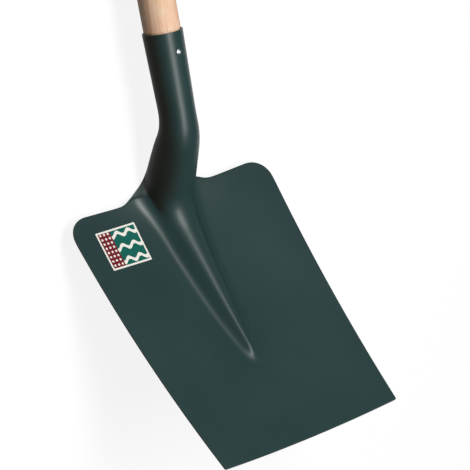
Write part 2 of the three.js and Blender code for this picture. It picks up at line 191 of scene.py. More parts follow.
knee = Vector(KNEE)
ridge_tip = Vector((KNEE[0] - RIDGE_LENGTH, blade_height(0, KNEE[0] - RIDGE_LENGTH)))
front_angle = SOCKET_LIFT + atan2(RIM_RADIUS - NECK_RADIUS, TAPER_LENGTH)
bend = knee + NECK_FRONT * Vector((cos(NECK_ANGLE), sin(NECK_ANGLE)))
rim_front = bend + SOCKET_FRONT * Vector((cos(front_angle), sin(front_angle)))


def round_corner(before, corner, after, radius):
    """Where the round of a corner starts, its centre, and how far it turns."""
    into, out = (corner - before).normalized(), (after - corner).normalized()
    turn = atan2(out.y, out.x) - atan2(into.y, into.x)
    reach = radius * tan(abs(turn) / 2)
    start = corner - into * reach
    side = turn / abs(turn)
    return start, start + Vector((-into.y, into.x)) * radius * side, turn


def crest_points():
    """The crest as a row of close points, from the ridge's tip to the rim."""
    arcs = (round_corner(ridge_tip, knee, bend, KNEE_RADIUS),
            round_corner(knee, bend, rim_front, BEND_RADIUS))
    run = arcs[0][0] - ridge_tip
    out = Vector((-run.y, run.x)).normalized()
    points = []
    for step in range(RIDGE_STEPS):
        share = (step / RIDGE_STEPS) ** TIP_CROWDING
        nose_left = 1 - min(share * run.length / NOSE_LENGTH, 1)
        lift = NOSE_HEIGHT * (1 - nose_left ** 2) * (1 - share) - 4 * RIDGE_SAG * share * (1 - share)
        points.append(ridge_tip + run * share + out * (lift if step else 0))
    for start, centre, turn in arcs:
        arm = start - centre
        for step in range(ARC_STEPS + 1):
            angle = turn * step / ARC_STEPS
            points.append(centre + Vector((arm.x * cos(angle) - arm.y * sin(angle),
                                           arm.x * sin(angle) + arm.y * cos(angle))))
    return points + [rim_front]


crest_line = crest_points()
print("the crest is drawn with", len(crest_line), "points, rim front at", [round(v, 1) for v in rim_front])


# %% [markdown]
# Places on the crest are found by their distance along it, as with a tape laid on the line. The rows of the
# sheet need two things there: the point itself, and which way is straight up from the crest.

# %% Measuring along the crest
def lengths_along(line):
    """How far each point of a line lies along it."""
    lengths = [0]
    for before, after in zip(line, line[1:]):
        lengths.append(lengths[-1] + (after - before).length)
    return lengths


def point_along(line, lengths, distance):
    """The point of a line at a distance along it."""
    index = min(max(bisect(lengths, distance) - 1, 0), len(line) - 2)
    share = (distance - lengths[index]) / (lengths[index + 1] - lengths[index])
    return line[index].lerp(line[index + 1], share)


crest_lengths = lengths_along(crest_line)
crest_length = crest_lengths[-1]
# The crest's slope is taken between two points this far to either side
SLOPE_REACH = 0.5
# Halving the crest's length this often finds a place on it to far less than a micrometre
HALVINGS = 40


def crest(distance):
    """The point of the crest at a distance from the ridge's tip, and the way up from it."""
    behind, ahead = max(distance - SLOPE_REACH, 0), min(distance + SLOPE_REACH, crest_length)
    along = point_along(crest_line, crest_lengths, ahead) - point_along(crest_line, crest_lengths, behind)
    return point_along(crest_line, crest_lengths, distance), Vector((-along.y, along.x)).normalized()


def crest_distance(y):
    """How far along the crest the point with this Y lies."""
    low, high = 0, crest_length
    for _ in range(HALVINGS):
        middle = (low + high) / 2
        too_low = point_along(crest_line, crest_lengths, middle).x < y
        low, high = (middle, high) if too_low else (low, middle)
    return low


print("the crest is", round(crest_length, 1), "mm long")


# %% [markdown]
# Half a section across ridge, neck or socket is one walk over the sheet: round the crown, straight down
# the flank, outwards through a hollow fillet, and along the flange.

# %% Sections
# Keeps a share of a fillet just below a quarter turn
NEARLY_ALL = 0.99


def section_point(section, walk):
    """How far a point lies sideways, and how deep below the crest."""
    crown, flank_angle, flank, fillet, flare = section
    on_crown = min(walk / crown, flank_angle)
    x, depth = crown * sin(on_crown), crown * (1 - cos(on_crown))
    rest = max(walk - crown * flank_angle, 0)
    on_flank = min(rest, flank)
    x += on_flank * cos(flank_angle)
    depth += on_flank * sin(flank_angle)
    rest -= on_flank
    turned = min(rest / fillet, flare) if fillet > 0 else flare
    heading = flank_angle - turned
    x += fillet * (sin(flank_angle) - sin(heading))
    depth += fillet * (cos(heading) - cos(flank_angle))
    rest -= fillet * turned
    return x + rest * cos(heading), depth + rest * sin(heading)


def ridge_section(height, crown, fillet, wanted_angle):
    """The section where the ridge stands at a height, half its girth out to the wing, and its foot."""
    radii = crown + fillet
    angle = min(wanted_angle, acos(max(1 - height / radii, -1)))
    straight = height - radii * (1 - cos(angle))
    flank = straight / sin(angle) if straight > 0 else 0
    foot = radii * sin(angle) + flank * cos(angle)
    over = foot - ROOT_HALF_WIDTH
    left_out = fillet * asin(min(over / fillet, NEARLY_ALL)) if over > 0 else over
    return (crown, angle, flank, fillet, angle), radii * angle + flank - left_out, foot


rounds_height = (ROOT_CROWN + ROOT_FILLET) * (1 - cos(ROOT_FLANK))
print("at the root the two rounds alone stand", round(rounds_height, 1), "mm high")


# %% [markdown]
# Rows of points across the blade, each from its middle to its right side. The first points go over the
# ridge, the rest over the wing beside it. The hollow between the two runs on into the wing near the root.

# %% Rows of the blade
SIDE_ROWS, CORNER_ROWS = 30, 7
GIRTH_STEPS, WING_STEPS = 30, 8
# Points of a wing lie closer together towards the ridge
WING_CROWDING = 1.5
# One more row or column this far from an edge keeps the corner there sharp
EDGE_BAND = 2.5

side_length = BLADE_LENGTH - CORNER_RADIUS
blade_places = sorted([side_length * row / SIDE_ROWS for row in range(SIDE_ROWS + 1)] + [EDGE_BAND])
blade_places += [side_length + CORNER_RADIUS * sin(pi / 2 * row / CORNER_ROWS)
                 for row in range(1, CORNER_ROWS + 1)]


def blade_row(row):
    """The points of one row of the blade."""
    foot = Vector((row_y(row, 0), blade_height(0, row_y(row, 0))))
    crest_y = foot.x - CREST_SET_BACK * max(root_share(row), 0) ** 2
    stand = crest(crest_distance(crest_y))[0] - foot if crest_y > ridge_tip.x else Vector((0, 0))
    height = stand.length
    up = stand.normalized() if height > 0 else Vector((0, 1))
    share = smooth(root_share(row))
    lower = (row - ridge_tip.x) / (BLADE_LENGTH - ROOT_ZONE - ridge_tip.x)
    lower = min(max(lower, 0), 1)
    crown = mix(mix(TIP_CROWN, RIDGE_CROWN, lower), ROOT_CROWN, share ** CROWN_POWER)
    fillet = mix(RIDGE_FILLET, ROOT_FILLET, share ** FILLET_POWER)
    flank = mix(mix(TIP_FLANK, RIDGE_FLANK, lower), ROOT_FLANK, share ** ANGLE_POWER)
    section, girth, foot_at = ridge_section(height, crown, fillet, flank)
    across = []
    for step in range(GIRTH_STEPS + 1):
        x, depth = section_point(section, girth * step / GIRTH_STEPS)
        across.append((x, height - depth))
    outer = outline_half_width(row)
    wing = [mix(ROOT_HALF_WIDTH, outer, (step / WING_STEPS) ** WING_CROWDING)
            for step in range(1, WING_STEPS + 1)]
    for x in sorted(wing + [outer - EDGE_BAND]):
        short_of_foot = min(max((foot_at - x) / fillet, 0), 1)
        across.append((x, fillet * (1 - sqrt(1 - short_of_foot ** 2))))
    points = []
    for x, lift in across:
        y = row_y(row, x)
        points.append(Vector((x, y + up.x * lift, blade_height(x, y) + up.y * lift)))
    return points


rows = [blade_row(place) for place in blade_places]
corner_row = len(rows) - 1
print(len(rows), "rows of", len(rows[0]), "points a side")


# %% [markdown]
# The rows of the neck and the socket end at the free edges that come together in the seam at the back.
# The neck's first row is the blade's last one, and its last row is the first closed one of the socket. On
# the way the flanks turn inwards, the fillets beside them run out, and the rows lean over to stand
# square to the crest.

# %% Rows of neck and socket
NECK_ROWS, SOCKET_ROWS = 18, 8


def socket_radius(from_rim):
    """The socket's outer radius at a distance from its rim."""
    return mix(RIM_RADIUS, NECK_RADIUS, from_rim / TAPER_LENGTH)


root_foot = Vector((row_y(BLADE_LENGTH, 0), blade_height(0, row_y(BLADE_LENGTH, 0))))
neck_start = crest_distance(root_foot.x - CREST_SET_BACK)
root_stand = crest(neck_start)[0] - root_foot
root_section, root_girth, _ = ridge_section(root_stand.length, ROOT_CROWN, ROOT_FILLET, ROOT_FLANK)


def neck_row(travel):
    """The points of one row of the neck; travel goes from 0 at the blade to 1 at the seam."""
    share = travel ** 2
    top, normal = crest(mix(neck_start, crest_length - SEAM_TOP, share))
    up = root_stand.normalized().lerp(normal, smooth(travel / LEAN_SHARE)).normalized()
    crown = mix(ROOT_CROWN, socket_radius(SEAM_TOP), share ** NECK_CROWN_POWER)
    angle = mix(root_section[1], pi, share ** CLOSING_POWER)
    fillet, flare = ROOT_FILLET * (1 - share), root_section[4] * (1 - share)
    girth = mix(root_girth, pi * socket_radius(SEAM_TOP) - SEAM_GAP / 2, share)
    section = (crown, angle, max(girth - crown * angle - fillet * flare, 0), fillet, flare)
    points = []
    for step in range(GIRTH_STEPS + 1):
        x, depth = section_point(section, girth * step / GIRTH_STEPS)
        x = max(x, SEAM_GAP / 2 * step / GIRTH_STEPS)
        lift = SHOULDER_DISH * (x / HALF_SHOULDER) ** 2 * (1 - travel)
        points.append(Vector((x, top.x - up.x * depth, top.y - up.y * depth + lift)))
    return points


def socket_row(from_rim):
    """The points of one row of the socket, almost a full turn."""
    top, up = crest(crest_length - from_rim)
    radius = socket_radius(from_rim)
    half_turn = pi - SEAM_GAP / 2 / radius
    angles = [half_turn * step / GIRTH_STEPS for step in range(GIRTH_STEPS + 1)]
    return [Vector((radius * sin(a), top.x - up.x * radius * (1 - cos(a)),
                    top.y - up.y * radius * (1 - cos(a)))) for a in angles]


rows += [neck_row(row / NECK_ROWS) for row in range(1, NECK_ROWS + 1)]
socket_places = [SEAM_TOP * (1 - row / SOCKET_ROWS) for row in range(1, SOCKET_ROWS)] + [EDGE_BAND, 0]
rows += [socket_row(place) for place in socket_places]
print(len(rows), "rows, the last ones of", len(rows[-1]), "points a side")

# %% [markdown]
# Where the blade's last row meets the neck's first one, the worked-out surface has a crease beside the
# ridge. A press can't make one in thick sheet: the steel turns over a round edge there. So each line of
# points that runs up the sheet is rounded there, less towards the crest, which is smooth already, and less
# towards the free edge, where the hollow of the root runs out.

# %% Rounding the root of the neck
ROOT_ROUNDING = 11
# Shares of the way from the crest to the free edge: the rounding is full at the first, and from the
# second on it loses a share of itself
FULL_FROM, LESS_FROM, LESS_BY = 0.625, 0.6, 0.8

smoothed = [list(row) for row in rows]
moved = 0
for step in range(1, GIRTH_STEPS + 1):
    line_up = [row[step] for row in rows]
    lengths = lengths_along(line_up)
    out = step / GIRTH_STEPS
    less = 1 - LESS_BY * smooth((out - LESS_FROM) / (1 - LESS_FROM))
    half = ROOT_ROUNDING * smooth(out / FULL_FROM) * less
    for number, here in enumerate(lengths):
        past = here - lengths[corner_row]
        if abs(past) < half:
            spread = (past ** 2 + half ** 2) / (2 * half)
            ends = [point_along(line_up, lengths, here + way * spread) for way in (-1, 1)]
            smoothed[number][step] = (ends[0] + ends[1]) / 2
            moved += 1
rows = smoothed
print(moved, "points rounded")

# %% [markdown]
# At the outer end of the root the hollow between flank and shoulder runs out to the free edge. The press
# draws it out wide there. That is done as with a smoothing brush: each point near that end moves towards
# its neighbours along and across the sheet, a point on a free edge only towards those on the edge.

# %% Easing the outer ends of the root
EASE_PASSES, EASE_REACH, EASE_ON_EDGE = 12, 26, 0.05
# Rows below and above the corner that the brush may reach, and the first point it may reach in a row
EASED_BELOW, EASED_ABOVE, EASED_FROM = 14, 12, 8


def towards(before, here, after):
    """The way from a point to the straight line between its neighbours."""
    near, far = (before - here).length, (after - here).length
    return (before * far + after * near) / (near + far) - here


root_end = rows[corner_row][GIRTH_STEPS].copy()
ease = [[smooth(1 - (point - root_end).length / EASE_REACH) for point in row] for row in rows]
for _ in range(EASE_PASSES):
    before_pass = [list(row) for row in rows]
    for number in range(corner_row - EASED_BELOW, corner_row + EASED_ABOVE):
        below, row, above = before_pass[number - 1:number + 2]
        for step in range(EASED_FROM, len(row)):
            if not ease[number][step]:
                continue
            here = row[step]
            if number == corner_row and step == GIRTH_STEPS:
                move = towards(above[step], here, row[step + 1]) * EASE_ON_EDGE
            elif step == len(row) - 1:
                move = towards(below[step], here, above[step]) * EASE_ON_EDGE
            elif step >= len(above):
                move = towards(row[step - 1], here, row[step + 1]) * EASE_ON_EDGE
            else:
                move = towards(row[step - 1], here, row[step + 1])
                move = (move + towards(below[step], here, above[step])) / 2
            rows[number][step] = here + move * ease[number][step]
print("the root's end moved by", round((rows[corner_row][GIRTH_STEPS] - root_end).length, 2), "mm")

# %% [markdown]
# The rows, mirrored, become a sheet of four-sided faces, which has no thickness yet. A point on the middle
# line is used once, so that the two halves are joined there.

# %% The sheet as a mesh
points, faces, numbers = [], [], []
for row in rows:
    ids = {}
    for step, point in enumerate(row):
        for side in ((1,) if step == 0 else (1, -1)):
            ids[side * step] = len(points)
            points.append(Vector((side * point.x, point.y, point.z)))
    numbers.append(ids)
for lower, upper in zip(numbers, numbers[1:]):
    reach = min(max(lower), max(upper))
    for step in range(-reach, reach):
        faces.append((lower[step], lower[step + 1], upper[step + 1], upper[step]))

mesh = bpy.data.meshes.new("head")
mesh.from_pydata([point * MM for point in points], [], faces)
head = bpy.data.objects.new("head", mesh)
bpy.context.collection.objects.link(head)
print("a sheet of", len(points), "points and", len(faces), "faces")

# %% [markdown]
# Solidify gives the sheet the thickness of the steel, behind the worked-out front face; its clamp keeps the
# back from folding over itself in tight places. Creases along the cut edges keep them square while a
# subdivision surface rounds the rest. A narrow bevel then takes the sharpness off the edges, as deburring
# does. An operator acts on all that is selected, so a piece is selected alone before anything is applied.

# %% Thickness and edges
EDGE_ROUNDING = 0.35
SHARP_EDGE, SMOOTH_BELOW = radians(50), radians(35)


def only(piece):
    """Makes a piece the only one selected."""
    bpy.ops.object.select_all(action="DESELECT")
    piece.select_set(True)
    bpy.context.view_layer.objects.active = piece


def apply(piece, kind, **settings):
    """Adds a modifier with its settings and applies it at once."""
    only(piece)
    modifier = piece.modifiers.new(kind.lower(), kind)
    for name, value in settings.items():
        setattr(modifier, name, value)
    bpy.ops.object.modifier_apply(modifier=modifier.name)


def shade(piece, smooth_below):
    """Shades a piece smooth, apart from edges that turn by more than an angle."""
    only(piece)
    bpy.ops.object.shade_smooth_by_angle(angle=smooth_below)


apply(head, "SOLIDIFY", thickness=SHEET * MM, offset=-1, use_even_offset=True, thickness_clamp=1,
      edge_crease_inner=1, edge_crease_outer=1)
apply(head, "SUBSURF", levels=1, render_levels=1)
apply(head, "BEVEL", width=EDGE_ROUNDING * MM, segments=2, limit_method="ANGLE", angle_limit=SHARP_EDGE)
shade(head, SMOOTH_BELOW)
print("the head has", len(head.data.polygons), "faces")

# %% [markdown]
# The left flanks of neck, socket and ridge are browner and duller than the rest: they lie in shade, and
# that shade is painted. Each point keeps, as an attribute called coat, how squarely it faces the right, in
# front and behind. Where it faces left, the enamel gets a painted brownish black and less shine. In the
# hollows at the outer ends of the root the wet paint gathers, and dries glossier than elsewhere.

# %% Where shade is painted on the enamel
# Faces turned towards these directions get no painted shade; faces turned left get the most
UNSHADED_TOWARDS_FRONT, UNSHADED_TOWARDS_BACK = Vector((0.55, 0.25, 0.8)), Vector((0.6, 0, -0.8))
FULL_SHADE_FACING, NO_SHADE_FACING = -0.42, 0.1
POOLED_COAT, POOL_REACH = 1.1, 50

# coat holds the share of each point left without painted shade, raised in the pooled hollows
coat = head.data.attributes.new("coat", "FLOAT", "POINT")
unshaded_points = 0
for vertex in head.data.vertices:
    facing = max(vertex.normal.dot(UNSHADED_TOWARDS_FRONT), vertex.normal.dot(UNSHADED_TOWARDS_BACK))
    unshaded_share = smooth((facing - FULL_SHADE_FACING) / (NO_SHADE_FACING - FULL_SHADE_FACING))
    x, y, z = vertex.co / MM
    from_root_end = (Vector((abs(x), y, z)) - root_end).length
    pooled = POOLED_COAT * smooth(1 - from_root_end / POOL_REACH)
    coat.data[vertex.index].value = unshaded_share * (1 + pooled)
    unshaded_points += facing > NO_SHADE_FACING
# A full coat here means a point with no painted shade
print("share of points with a full coat:", round(unshaded_points / len(head.data.vertices), 2))

# %% [markdown]
# The head was worked out lying flat. The tool rests on the heel of the blade and on the butt of the
# handle, so the head is tilted back, and then moved until it reaches as far forwards and as high as the
# CAD solid does. The place goes into the mesh and the object stays at the origin, as the CAD nodes do.

# %% Tilting the head
REST_ANGLE = radians(36.5488)


def put(piece, place):
    """Puts a piece made round the origin at its place, and moves that place into its mesh."""
    only(piece)
    piece.matrix_world = place @ piece.matrix_world
    bpy.ops.object.transform_apply(location=True, rotation=True, scale=True)


tilt = Matrix.Rotation(-REST_ANGLE, 4, "X")
tilted = [tilt @ vertex.co for vertex in head.data.vertices]
node_low, node_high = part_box("blade_and_socket")
shift = Vector((0, node_low[1] - min(v.y for v in tilted), node_high[2] - max(v.z for v in tilted)))
head_place = Matrix.Translation(shift) @ tilt
put(head, head_place)
lowest = min(vertex.co.z for vertex in head.data.vertices)
print("moved by", [round(v / MM, 2) for v in shift], "mm; the heel is", round(lowest / MM, 2), "mm up")

# %% [markdown]
# The handle: a turned stick of ash. It could be a lathe profile, and at the bench it is one. Here a disc
# is extruded along the stick and scaled at each station, which is the same work by hand. It is thinner in
# the socket, swells just above the rim, and its butt is rounded.

# %% Handle
HANDLE_LENGTH, HANDLE_RADIUS, IN_SOCKET = 1100, 19.8, 80
HANDLE_CLEARANCE, FOOT_CHAMFER, SWELL, BUTT_ROUNDING = 0.35, 4, 30, 12
STRAIGHT_STEPS, ROUND_STEPS, HANDLE_VERTICES = 6, 8, 96
WOOD_SMOOTH_BELOW = radians(30)
# Where the wood enters the rim it is pared down a little, which leaves a dark line round it: here the
# knife goes in, is deep enough, starts to come out, and is out
PARED_RADIUS, PARED_AT = 18.9, (-3, -2, 0.7, 1.5)
# The share of the swell that is reached halfway up it
EARLY_SWELL = 0.8

rim_up = crest(crest_length)[1]
rim_middle = Vector((0, *(rim_front - rim_up * RIM_RADIUS)))
# Local Z runs up the handle and local -Y faces the front
socket_place = (head_place @ Matrix.Translation(rim_middle * MM)
                @ Matrix.Rotation(SOCKET_LIFT, 4, "X") @ Matrix.Rotation(radians(-90), 4, "X"))


def in_socket_radius(from_rim):
    """The wood's radius inside the socket's wall."""
    return socket_radius(from_rim) - SHEET - HANDLE_CLEARANCE


def turned(name, stations, vertices):
    """A round piece along Z: a disc at the first (height, radius), extruded through the others."""
    bpy.ops.object.select_all(action="DESELECT")
    height, radius = stations[0]
    bpy.ops.mesh.primitive_circle_add(vertices=vertices, radius=radius * MM, fill_type="NGON",
                                      location=(0, 0, height * MM))
    piece = bpy.context.object
    piece.name = piece.data.name = name
    bpy.ops.object.mode_set(mode="EDIT")
    for next_height, next_radius in stations[1:]:
        move = (0, 0, (next_height - height) * MM)
        bpy.ops.mesh.extrude_region_move(TRANSFORM_OT_translate={"value": move})
        scale = next_radius / radius
        bpy.ops.transform.resize(value=(scale, scale, 1))
        height, radius = next_height, next_radius
    bpy.ops.mesh.select_all(action="SELECT")
    bpy.ops.mesh.normals_make_consistent(inside=False)
    bpy.ops.object.mode_set(mode="OBJECT")
    return piece


butt = HANDLE_LENGTH - IN_SOCKET
straight = butt - BUTT_ROUNDING - SWELL
stations = [(-IN_SOCKET, in_socket_radius(IN_SOCKET) - FOOT_CHAMFER),
            (-IN_SOCKET + FOOT_CHAMFER, in_socket_radius(IN_SOCKET - FOOT_CHAMFER)),
            (PARED_AT[0], in_socket_radius(-PARED_AT[0])), (PARED_AT[1], PARED_RADIUS),
            (PARED_AT[2], PARED_RADIUS), (PARED_AT[3], in_socket_radius(0)),
            (SWELL / 2, mix(in_socket_radius(0), HANDLE_RADIUS, EARLY_SWELL)),
            (SWELL, HANDLE_RADIUS)]
stations += [(SWELL + straight * step / STRAIGHT_STEPS, HANDLE_RADIUS) for step in range(1, STRAIGHT_STEPS)]
for step in range(ROUND_STEPS + 1):
    angle = pi / 2 * step / ROUND_STEPS
    stations.append((butt - BUTT_ROUNDING * (1 - sin(angle)),
                     HANDLE_RADIUS - BUTT_ROUNDING * (1 - cos(angle))))
handle = turned("handle", stations, HANDLE_VERTICES)
put(handle, socket_place)
shade(handle, WOOD_SMOOTH_BELOW)
print("handle of", len(stations), "stations;", butt, "mm of it stand out of the socket")

# %% [markdown]
# The nail: a zinc plated round nail driven through the front of the socket. Its head is a low dome with
# a shallow dimple, and the shank ends in a point inside the wood. It is made in the same way, each pair a
# height above the paint and a radius.

# %% Nail
NAIL_FROM_RIM, NAIL_HEAD, NAIL_SHANK, NAIL_VERTICES = 21.3, 2.8, 1.8, 32
NAIL_LENGTH, NAIL_POINT, NAIL_TIP, NAIL_CLEARANCE = 28, 5, 0.1, 0.3
HEAD_EDGE, HEAD_EDGE_ROUNDING, ALMOST_FLAT = 0.4, 0.15, 0.001
NAIL_SMOOTH_BELOW = radians(60)

shank = [(-NAIL_LENGTH, NAIL_TIP), (NAIL_POINT - NAIL_LENGTH, NAIL_SHANK), (0, NAIL_SHANK)]
head_edge = [(ALMOST_FLAT, NAIL_HEAD - HEAD_EDGE_ROUNDING), (HEAD_EDGE_ROUNDING, NAIL_HEAD),
             (HEAD_EDGE, NAIL_HEAD)]
dome = [(0.6, NAIL_HEAD - HEAD_EDGE_ROUNDING), (0.85, 2.3), (1.05, 1.85), (1.18, 1.4), (1.2, 1.1)]
dimple = [(1.12, 0.85), (0.95, 0.6), (0.85, 0.3)]
nail = turned("nail", shank + head_edge + dome + dimple, NAIL_VERTICES)
nail_seat = rim_front - (rim_front - bend).normalized() * NAIL_FROM_RIM + rim_up * NAIL_CLEARANCE
nail_place = (head_place @ Matrix.Translation(Vector((0, *nail_seat)) * MM)
              @ Matrix.Rotation(front_angle, 4, "X"))
put(nail, nail_place)
shade(nail, NAIL_SMOOTH_BELOW)
print("nail at", [round(v / MM, 1) for v in nail_place.translation], "mm")

# %% [markdown]
# The label: a piece of printed film stuck on the left shoulder. A grid is laid over the blade, with its
# back the glue's thickness above the steel, and gets the film's thickness.

# %% Label
LABEL_WIDTH, LABEL_HEIGHT, LABEL_FROM_SIDE, LABEL_FROM_SHOULDERS = 52.8, 43.8, 27.9, 21.2
LABEL_COLUMNS, LABEL_ROWS = 16, 14
FILM, GLUE = 0.2, 0.3

bpy.ops.object.select_all(action="DESELECT")
bpy.ops.mesh.primitive_grid_add(x_subdivisions=LABEL_COLUMNS, y_subdivisions=LABEL_ROWS, size=1)
label = bpy.context.object
label.name = label.data.name = "shoulder_label"
for vertex in label.data.vertices:
    x = LABEL_FROM_SIDE - HALF_SHOULDER + LABEL_WIDTH * (vertex.co.x + 0.5)
    y = BLADE_LENGTH - LABEL_FROM_SHOULDERS - LABEL_HEIGHT * (0.5 - vertex.co.y)
    vertex.co = Vector((x, y, blade_height(x, y) + GLUE + FILM)) * MM
apply(label, "SOLIDIFY", thickness=FILM * MM, offset=-1)
put(label, head_place)
shade(label, SMOOTH_BELOW)
print("label", LABEL_WIDTH, "by", LABEL_HEIGHT, "mm")

# %% [markdown]
# All pieces have their shapes now, and the finishes follow. Colours are written as they look on a screen and
# turned linear, which is how light adds up. One function adds a shader node with its settings and links.

# %% Helpers for the finishes
def linear(code):
    """An sRGB hex colour as linear red, green, blue and alpha."""
    parts = [int(code[i:i + 2], 16) / 255 for i in (1, 3, 5)]
    return [p / 12.92 if p <= 0.04045 else ((p + 0.055) / 1.055) ** 2.4 for p in parts] + [1]


def add_node(tree, kind, inputs=None, stops=None, **settings):
    """Adds a node. Inputs go by name or number and are values or other nodes' outputs."""
    node = tree.nodes.new("ShaderNode" + kind)
    for name, value in settings.items():
        setattr(node, name, value)
    for name, value in (inputs or {}).items():
        if isinstance(value, bpy.types.NodeSocket):
            tree.links.new(value, node.inputs[name])
        else:
            node.inputs[name].default_value = value
    if stops:
        elements = node.color_ramp.elements
        while len(elements) < len(stops):
            elements.new(0.5)
        for element, (place, code) in zip(elements, stops):
            element.position = place
            element.color = linear(code)
    return node


def new_material(name):
    """An empty material and the tree that holds its nodes."""
    material = bpy.data.materials.new(name)
    material.use_nodes = True
    material.node_tree.nodes.clear()
    return material, material.node_tree


print("mid grey on a screen is", round(linear("#808080")[0], 3), "in linear light")

# %% [markdown]
# The finish of the head is a sprayed enamel, dark green, between matt and gloss. Enamel has an
# IOR of about 1.5 and, unlike metal, keeps its highlights white. A spray coat dries with a very fine
# ripple, the orange peel, which spreads the highlights a little. Where the coat attribute is low, on the
# left flanks, shade is painted in: the colour goes towards a brownish black and the shine goes. Where it
# is pooled, the attribute passes 1 and so does the gloss, which is why that range isn't clamped. A broad,
# faint clouding keeps the large faces alive.

# %% Dark green enamel
CLOUDING, ORANGE_PEEL = 71.4, 2.2

enamel, tree = new_material("dark_green_enamel")
place = add_node(tree, "TexCoord").outputs["Object"]
cloud = add_node(tree, "TexNoise", {"Vector": place, "Scale": 1 / (CLOUDING * MM), "Detail": 3,
                                    "Roughness": 0.55})
peel = add_node(tree, "TexNoise", {"Vector": place, "Scale": 1 / (ORANGE_PEEL * MM), "Detail": 2})
unshaded_and_pooled = add_node(tree, "Attribute", attribute_name="coat").outputs["Fac"]
full = add_node(tree, "ValToRGB", {"Fac": cloud.outputs["Fac"]}, stops=((0.3, "#203736"), (0.7, "#243b3a")))
# Painted shade: the brownish black given to the left flanks
painted_shade_colour = add_node(tree, "ValToRGB", {"Fac": cloud.outputs["Fac"]}, stops=((0.3, "#242621"), (0.7, "#282a25")))
colour = add_node(tree, "Mix", {0: unshaded_and_pooled, 6: painted_shade_colour.outputs["Color"], 7: full.outputs["Color"]},
                  data_type="RGBA").outputs[2]
# Less shine where shade is painted, more where the attribute passes 1 in the pooled hollows
shine = add_node(tree, "MapRange", {"Value": unshaded_and_pooled, "To Min": 0.1, "To Max": 0.37}, clamp=False)
matt = add_node(tree, "MapRange", {"Value": unshaded_and_pooled, "To Min": 0.5, "To Max": 0.37})
gloss = add_node(tree, "Math", {0: cloud.outputs["Fac"], 1: 0.03, 2: matt.outputs["Result"]},
                 operation="MULTIPLY_ADD")
bump = add_node(tree, "Bump", {"Strength": 0.06, "Distance": 0.1 * MM, "Height": peel.outputs["Fac"]})
shader = add_node(tree, "BsdfPrincipled", {"Base Color": colour, "IOR": 1.5,
                                           "Specular IOR Level": shine.outputs["Result"],
                                           "Roughness": gloss.outputs[0], "Normal": bump.outputs["Normal"]})
add_node(tree, "OutputMaterial", {"Surface": shader.outputs["BSDF"]})
print(enamel.name, "is made of", len(tree.nodes), "nodes")

# %% [markdown]
# Ash, planed and left bare. Its grain runs along the stick: pale bands of fine lines, a little
# darker where the summer wood shows. The pattern is turned to the stick and stretched along it. Real pores
# are a few tenths of a millimetre wide, too fine to show here, so they are drawn coarser.

# %% Bare ash
BAND, FINE_LINE, PATCH, PORE = 9, 1.5, 30, 0.8
ALONG_STICK = 0.03

ash, tree = new_material("bare_ash")
place = add_node(tree, "TexCoord").outputs["Object"]
along = add_node(tree, "Mapping", {"Vector": place, "Rotation": (REST_ANGLE - SOCKET_LIFT, 0, 0),
                                   "Scale": (1, ALONG_STICK, 1)}).outputs["Vector"]
bands = add_node(tree, "TexNoise", {"Vector": along, "Scale": 1 / (BAND * MM), "Detail": 2,
                                    "Distortion": 0.4})
lines = add_node(tree, "TexNoise", {"Vector": along, "Scale": 1 / (FINE_LINE * MM), "Detail": 4,
                                    "Roughness": 0.6})
patches = add_node(tree, "TexNoise", {"Vector": place, "Scale": 1 / (PATCH * MM), "Detail": 2})
pores = add_node(tree, "TexNoise", {"Vector": along, "Scale": 1 / (PORE * MM), "Detail": 2})
tone = add_node(tree, "ValToRGB", {"Fac": bands.outputs["Fac"]},
                stops=((0.34, "#d6b395"), (0.5, "#dfc0a5"), (0.66, "#e8ccb4")))
warmth = add_node(tree, "ValToRGB", {"Fac": patches.outputs["Fac"]},
                  stops=((0.38, "#fff4e6"), (0.5, "#fffdf8"), (0.62, "#fff1ec")))
warm = add_node(tree, "Mix", {0: 1.0, 6: tone.outputs["Color"], 7: warmth.outputs["Color"]},
                data_type="RGBA", blend_type="MULTIPLY").outputs[2]
grain = add_node(tree, "ValToRGB", {"Fac": lines.outputs["Fac"]},
                 stops=((0.3, "#e2cdbb"), (0.46, "#fbf6f1"), (0.6, "#ffffff")))
grained = add_node(tree, "Mix", {0: 0.8, 6: warm, 7: grain.outputs["Color"]},
                   data_type="RGBA", blend_type="MULTIPLY").outputs[2]
pore = add_node(tree, "MapRange", {"Value": pores.outputs["Fac"], "From Min": 0.3, "From Max": 0.36,
                                   "To Min": 0.35, "To Max": 0.0}).outputs[0]
wood_colour = add_node(tree, "Mix", {0: pore, 6: grained, 7: linear("#a07a5a")}, data_type="RGBA").outputs[2]
bump = add_node(tree, "Bump", {"Strength": 0.3, "Distance": 0.15 * MM, "Height": lines.outputs["Fac"]})
shader = add_node(tree, "BsdfPrincipled", {"Base Color": wood_colour, "Roughness": 0.6,
                                           "IOR": 1.45, "Normal": bump.outputs["Normal"]})
add_node(tree, "OutputMaterial", {"Surface": shader.outputs["BSDF"]})
print(ash.name, "is made of", len(tree.nodes), "nodes")

# %% [markdown]
# Zinc plate on steel: a cool, pale metal with a cloudy shine. The crystals that cloud it are too fine to
# show, so the clouds are drawn a millimetre wide.

# %% Zinc plate
ZINC_CLOUD = 1

